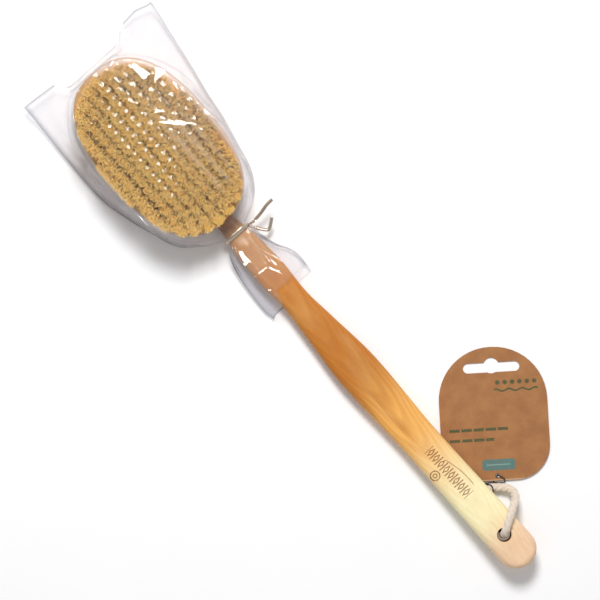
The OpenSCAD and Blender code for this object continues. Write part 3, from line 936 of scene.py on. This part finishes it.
def film_grid():
    """The bag's film as rings round the brush, from the hem of its skirt to its sealed edge."""
    d_rows = np.concatenate([np.linspace(HEM, TIE_D, NECK_RINGS),
                             np.linspace(TIE_D, HEAD_FULL, SHOULDER_RINGS)[1:],
                             np.linspace(HEAD_FULL, SEAL, HEAD_RINGS)[1:]])
    q = np.concatenate([np.linspace(-1, 1, TOP_COLUMNS), np.linspace(1, -1, BOTTOM_COLUMNS + 1)[1:-1]])
    is_top = np.arange(len(q)) < TOP_COLUMNS
    d = np.repeat(d_rows[:, None], len(q), axis=1)
    left, right, edge = (at_stations(s, d) for s in (LEFT_EDGE, RIGHT_EDGE, EDGE_HEIGHT))
    centre, half = (left + right) / 2, (right - left) / 2
    head = ease((d - HEAD_START) / 13)
    share = (1 - head) * np.sin(q * math.pi / 2) + head * q
    x = centre + half * share
    d_real = drawn_in(x, d, is_top)
    t = np.clip(np.abs(share), 0, 1)
    shown = np.where(is_top, *film_heights(x, d, d_real, t, head, left, right, edge))

    turn = np.arctan2(shown - edge, x - centre)
    grow = gathers(q, d)
    x = x + grow * np.cos(turn) * (1 - head)
    upward = np.where(is_top, np.maximum(np.sin(turn), 0.0), 0.3 * np.sin(turn))
    shown = shown + grow * upward * (1 - 0.35 * head)
    top, pressed = slice(0, TOP_COLUMNS), np.zeros(shown.shape)
    shown[:, top], pressed[:, top] = creased(x[:, top], d_real[:, top], shown[:, top])

    # Both layers meet at the sealed edge
    seal_z = SEAL_HEIGHT + 3 * hump((x - SEAL_MIDDLE) / 22) + 1.2 * np.sin(0.13 * x)
    seal_z = seal_z + np.where(is_top, 0.5, -0.5) * SEAL_THICKNESS
    shown = shown + (seal_z - shown) * ease((d - (SEAL - 9)) / 9)

    rim = Rim(x, d_real)
    inside = ease((1.03 - rim.reach) / 0.06)
    # The fold mark is painted shade; the haze and sheen mark is milky haze with painted sheen
    marks = {"fold": painted_fold_shade(x, d, rim, x - left, right - x, head, is_top),
             "haze_and_sheen": np.where(is_top, sheen_and_haze(x, d, rim, x - left, head, inside), 0.05),
             "taut": np.maximum(dimpled(x, d_real), 0.8 * (1 - pressed)) * inside}
    return np.stack([x, d_real, np.maximum(shown, 0.1)], axis=-1), marks


def film_material():
    skin = Skin("clear_film")
    skin.tree.nodes.remove(skin.shader)
    edge_on = Num(skin.node("ShaderNodeLayerWeight", Blend=0.35).outputs["Facing"])
    haze = skin.grain(0.15, 0.15, 0.15, 3)
    # Greyer where the film is seen edge on, and painted shade along the folds, seal, hem and rim that the
    # fold mark holds
    edge_and_fold_shade = edge_on.rise(0.6, 1.0).max(skin.attribute("fold"))
    tint = skin.mix(edge_and_fold_shade, rgb(253, 253, 254), rgb(188, 189, 195))
    through = skin.node("ShaderNodeBsdfTransparent", Color=tint)
    fine = skin.grain(0.5, 0.5, 0.5, 4, 0.6)
    wrinkle = skin.node("ShaderNodeBump", Distance=0.035 * MM, Height=fine)
    gloss = skin.node("ShaderNodeBsdfGlossy", Color=(1, 1, 1, 1), Roughness=0.06, Normal=wrinkle.outputs[0])
    # A white diffuse layer for the film's milky haze and its painted sheen
    haze_and_sheen = skin.node("ShaderNodeBsdfDiffuse", Color=rgb(236, 234, 240))
    haze_and_sheen_share = skin.attribute("haze_and_sheen") * (haze * 0.5 + 0.75) * 0.36 + 0.006
    shiny = edge_on.power(4.0) * 0.2 + (haze * 0.02 + 0.03) * (skin.attribute("taut") * -0.55 + 1)
    share = haze_and_sheen_share + shiny
    whole = skin.blend(share, through, skin.blend(haze_and_sheen_share / share, gloss, haze_and_sheen))
    feed(skin.tree.nodes["Material Output"].inputs["Surface"], whole.outputs[0])
    return skin.material


def add_bag():
    rings, marks = film_grid()
    bag = add_piece("film_bag", loft(rings, caps=False), "brush", film_material(), "poly_bag")
    for name, values in marks.items():
        store(bag, name, values)


add_bag()


# ---------- Twist tie ----------

def tie_material():
    skin = Skin("tie_foil")
    crinkle = skin.grain(2.2, 2.2, 2.2, 3)
    skin.bump(crinkle, 0.1)
    colour = skin.mix(crinkle, rgb(176, 164, 146), rgb(226, 212, 196))
    return skin.dress(colour, crinkle * 0.25 + 0.22, Metallic=0.85)


TIE_WIDTH = 2.2
LONG_END = [[8.95, 278.5, 9], [13.4, 277.6, 10.4], [20.6, 278.4, 13.4], [26, 279.6, 16],
            [31.3, 279.9, 17.6]]
SHORT_END = [[8.95, 277.9, 8.4], [11.8, 273.6, 8.6], [14.8, 269.4, 8.4], [17, 267.4, 8.6],
             [19.6, 268.6, 9.6], [23.5, 271.7, 11.4]]
END_TURNS = 1.5


def ribbon(path, wide, turns=0, closed=False):
    """A flat ribbon with a wire down its middle. wide is its width axis at the start."""
    across, up = sides_of(path, wide)
    profile = [(-1, 0.1), (-0.3, 0.14), (0, 0.42), (0.3, 0.14), (1, 0.1),
               (1, -0.1), (0.3, -0.14), (0, -0.42), (-0.3, -0.14), (-1, -0.1)]
    rings = []
    for k, point in enumerate(path):
        a = turns * 2 * math.pi * ease(k / (len(path) - 1) * 3.2)
        w = up[k] * math.cos(a) + across[k] * math.sin(a)
        t = across[k] * math.cos(a) - up[k] * math.sin(a)
        rings.append([point + w * p * TIE_WIDTH / 2 + t * h for p, h in profile])
    rings = np.array(rings)
    if closed:
        rings = np.concatenate([rings, rings[:1]])
    return loft(rings, caps=not closed)


def add_tie():
    inner = rounded_ring(TIE_D, width=17.9, low=0.75, high=14.25, radius=6.5)
    outer = rounded_ring(TIE_D, width=18.7, low=0.5, high=14.75, radius=6.8) + (0, 0.5, 0)
    parts = [ribbon(section, (0, 1, 0), closed=True) for section in (inner, outer)]
    parts += [ribbon(smooth_route(end, 0.4), (0, 1, 0.2), END_TURNS) for end in (LONG_END, SHORT_END)]
    add_piece("foil_tie", joined(*parts), "brush", tie_material(), "twist_tie", sharp_angle=50)


add_tie()


# ---------- Cotton loop, card and string ----------

# The loop's route in the CAD model: x, distance from the handle's end, z
CORD_ROUTE = [
    [4.1, 32.6, 3.2], [2.4, 29.8, 3.7], [1, 27, 5.4], [0.2, 25.1, 8.8], [0, 24.5, 12.5],
    [0.1, 24.6, 16.4], [0.8, 25, 20], [3, 26.4, 22.7], [6.6, 28.6, 23.4], [10.6, 31, 22.9],
    [14.6, 33.3, 20.7], [18.3, 35.2, 16.6], [21.2, 37, 11.4], [22.5, 39.8, 7.2], [21.7, 43.2, 5],
    [19.2, 46.3, 4.2], [16.4, 49, 4], [13.5, 50.9, 3.8], [10.7, 50.4, 3.3], [9.3, 47.8, 2.9],
    [9.4, 44, 2.9], [8.7, 40.2, 3], [6.3, 36.4, 3.2]]
CORD_D = 4.2
LOOSE_LAY = 1.27
FLATTENED = 0.78
KNOT_PLACE = [5.2, 34.5, 3.2]
KNOT_SIZE = 4.1
KNOT_STRAND_R = 1.55
# The string's route: across the card, up it from the middle of its lower edge, and z
STRING_ROUTE = [
    [-7.9, -1.7, 2.6], [-5.6, -1.3, 2.4], [-2.5, -1.3, 2.4], [1.5, -1.6, 2.4], [4, -1.3, 2.5],
    [4.3, 0.5, 2.5], [2.6, 2.1, 2.5], [0.9, 2.9, 2.2], [0, 3, 1.4], [-0.8, 2.3, 0.7],
    [-2, 0.8, 0.6], [-3, -1.4, 0.6], [-3.3, -3.2, 0.8], [-3.4, -4.8, 1.1], [-3.4, -6.3, 1.7],
    [-3.4, -7.2, 3], [-3.4, -7.3, 4.5], [-3.5, -6.3, 6], [-3.7, -4.6, 6.7], [-4.4, -2.9, 6.2],
    [-6, -2.1, 4.9], [-8.2, -2.4, 3.7]]
STRING_D = 0.8
STRING_KNOT_PLACE = [-8.1, -2, 3.1]
STRING_KNOT_SIZE = 1.15
STRING_KNOT_R = 0.42
TAG_PLACE = np.array([19.9, 51.6])
TAG_TURN = math.radians(-38.3)
TAG_ACROSS = np.array([math.cos(TAG_TURN), math.sin(TAG_TURN)])
TAG_UP = np.array([-math.sin(TAG_TURN), math.cos(TAG_TURN)])


def on_card(points):
    """Points across and up the card, as x, d and z."""
    p = np.array(points, float)
    flat = TAG_PLACE + p[:, :1] * TAG_ACROSS + p[:, 1:2] * TAG_UP
    return np.hstack([flat, p[:, 2:]])


def twisted_tube(path, radius, strands, twist, flatten=1.0, relief=0.13, points=30):
    """A tube of twisted strands. twist is in turns a millimetre, flatten the share of its height kept."""
    across, up = sides_of(path, (0.2, 0.1, 0.97))
    along = np.concatenate([[0], np.cumsum(np.linalg.norm(np.diff(path, axis=0), axis=1))])
    bend = np.gradient(headings(path), along, axis=0)
    a, rings = circle(points), []
    for k, point in enumerate(path):
        lobes = np.abs(np.cos(strands / 2 * (a - 2 * math.pi * twist * along[k])))
        r = radius * (1 - relief * (1 - lobes) ** 2 * 2.2)
        end = min(along[k], along[-1] - along[k])
        r = r * (0.55 + 0.45 * min(1.0, end / (0.6 * radius)))
        offset = np.outer(r * np.cos(a), across[k]) + np.outer(r * np.sin(a), up[k])
        offset = offset * (1, 1, flatten)
        # The inside of a tight bend is pressed flat, so that its rings don't cross
        inward = np.maximum(offset @ bend[k], 1e-9)
        rings.append(point + offset * np.minimum(1, 0.8 / inward)[:, None])
    return loft(np.array(rings))


def cotton_material():
    skin = Skin("cotton")
    yarn = skin.grain(1.3, 1.3, 1.3, 4, 0.7)
    fuzz = skin.grain(6, 6, 6, 3, 0.7)
    colour = skin.coats(rgb(246, 234, 220), (yarn.rise(0.3, 0.7), (218, 198, 176)),
                        (fuzz.rise(0.5, 0.8) * 0.4, (182, 160, 134)))
    skin.bump(fuzz * 0.6 + yarn * 0.4, 0.35)
    return skin.dress(colour, 0.85, Sheen_Weight=0.5, Sheen_Roughness=0.4)


def string_material():
    skin = Skin("black_string")
    lay = ((skin.x + skin.d) * 3.0 + skin.z * 2.0).sin()
    colour = skin.mix(lay.rise(-1, 1), rgb(18, 18, 18), rgb(52, 50, 48))
    skin.bump(lay, 0.05)
    return skin.dress(colour, 0.5)


def knot_route(centre, size, radius, turn):
    """The route of an overhand knot drawn up tight, a trefoil."""
    t = np.linspace(0, 2 * math.pi, 121)
    out, a = 2 + np.cos(3 * t), 2 * t + turn
    return ring(out * np.cos(a), out * np.sin(a), 1.1 * np.sin(3 * t)) * ((size - radius) / 3) + centre


def knot_tube(path, radius, strands, twist, points=24):
    """A tube of twisted strands along a knot. twist is in turns a step of its route."""
    across, up = sides_of(path)
    a, rings = circle(points), []
    for k, point in enumerate(path):
        lobes = np.abs(np.cos(strands / 2 * (a - 2 * math.pi * twist * k)))
        r = radius * (0.9 + 0.1 * lobes)
        rings.append(point + np.outer(r * np.cos(a), across[k]) + np.outer(r * np.sin(a), up[k]))
    return loft(np.array(rings))


def add_loop():
    cotton = cotton_material()
    path = smooth_route(CORD_ROUTE, 0.45)
    tube = twisted_tube(path, CORD_D / 2 * LOOSE_LAY, strands=3, twist=0.075, flatten=FLATTENED)
    loop = add_piece("cotton_loop", tube, "loop", cotton, "hang_cord")
    route = knot_route(KNOT_PLACE, KNOT_SIZE, KNOT_STRAND_R, 0.4)
    tube = knot_tube(route, KNOT_STRAND_R, strands=3, twist=0.03)
    knot = add_piece("cotton_knot", tube, "loop", cotton, "cord_knot")
    return loop, path, knot


def add_string():
    black = string_material()
    path = on_card(smooth_route(STRING_ROUTE, 0.25))
    tube = twisted_tube(path, STRING_D / 2, strands=2, twist=0.5, relief=0.1, points=14)
    string = add_piece("card_string", tube, "loop", black, "tag_string")
    route = knot_route(on_card([STRING_KNOT_PLACE])[0], STRING_KNOT_SIZE, STRING_KNOT_R, 0.2)
    tube = knot_tube(route, STRING_KNOT_R, strands=2, twist=0.05, points=12)
    knot = add_piece("card_string_knot", tube, "loop", black, "string_knot")
    return string, path, knot


def printed(skin, across, up):
    """The card's inks: green bars, dots and a wave where a shop card has words, and a teal label."""
    bar_pitch, bar_height = 7.7, 1.9
    gaps = ((across + 30) / bar_pitch).fract().rise(0.12, 0.16)

    def bars(middle, centre_up, width):
        row = up.band(centre_up - bar_height / 2, centre_up + bar_height / 2, 0.25)
        return across.band(middle - width / 2, middle + width / 2, 0.25) * row * gaps

    words = bars(-10.8, 32.7, 38.6).max(bars(-15.5, 26.2, 29.7))
    wave_up, wave_height, motif_start, motif_end = 57.2, 0.7, 1, 29
    wave = (up - wave_up - (across * 0.75).sin() * wave_height).abs().rise(0.75, 0.45)
    wave = wave * across.band(motif_start, motif_end, 0.3)
    dot_pitch, dots_up = 4.7, 62.1
    dots_along = ((across - motif_start) / dot_pitch).fract() * dot_pitch - dot_pitch / 2
    dots = dots_along.hypot(up - dots_up).rise(1.55, 1.3) * across.band(motif_start, motif_end, 0.2)

    label_across, label_up, corner_r = 1.25, 10, 1.9
    off_across, off_up = (across - label_across).abs(), (up - label_up).abs()
    corner = (off_across - 8.6).max(0.0).hypot((off_up - 1.6).max(0.0))
    label = corner.rise(corner_r + 0.2, corner_r - 0.2)
    rule = off_up.band(-1, 0.35, 0.15) * across.band(-6.5, 8.5, 0.2)
    worn = skin.noise(across * 1.6, up * 1.6, 0.0, 3).rise(0.25, 0.5)
    green = words.max(wave).max(dots) * worn * 0.9
    return green, label * worn * 0.9, label * rule * 0.5


def kraft_material():
    skin = Skin("kraft_card")
    x, d = skin.x - TAG_PLACE[0], skin.d - TAG_PLACE[1]
    across, up = x * TAG_ACROSS[0] + d * TAG_ACROSS[1], x * TAG_UP[0] + d * TAG_UP[1]
    pulp = skin.noise(skin.x * 0.09, skin.d * 0.09, 0.0, 4, 0.55)
    fibre = skin.noise(across * 2.6, up * 0.9, 0.0, 4, 0.7)
    fleck = skin.noise(across * 1.1, up * 3.4, 3.0, 2).rise(0.66, 0.74)
    green, label, rule = printed(skin, across, up)
    colour = skin.coats(
        rgb(172, 118, 70),
        (pulp.rise(0.3, 0.7), (156, 104, 60)),
        (fibre.rise(0.45, 0.75) * 0.25, (134, 84, 48)),
        (fleck * 0.4, (222, 172, 124)),
        (up.rise(0.9, 0.3) * 0.6, (230, 190, 150)),
        (green, (40, 76, 44)),
        (label, (58, 122, 122)),
        (rule, (150, 190, 180)))
    skin.bump(fibre * 0.5 + pulp * 0.5, 0.08)
    return skin.dress(colour, fibre * 0.1 + 0.72, Sheen_Weight=0.1)


loop, loop_path, loop_knot = add_loop()
string, string_path, string_knot = add_string()
paint(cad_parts["hang_tag"], kraft_material())


# ---------- Floor ----------

FLOOR_HALF = 6.0
FLOOR_GAP = 0.0003


def add_floor():
    skin = Skin("pale_floor")
    grain = skin.noise(skin.x * 0.02, skin.d * 0.02, 0.0, 2)
    colour = skin.mix(grain, rgb(251, 251, 252), rgb(254, 254, 255))
    material = skin.dress(colour, 0.9, Specular_IOR_Level=0.1)
    far, z = FLOOR_HALF, -FLOOR_GAP
    mesh = bpy.data.meshes.new("floor")
    mesh.from_pydata([(-far, -far, z), (far, -far, z), (far, far, z), (-far, far, z)], [], [(0, 1, 2, 3)])
    mesh.materials.append(material)
    add_object("floor", mesh)


add_floor()
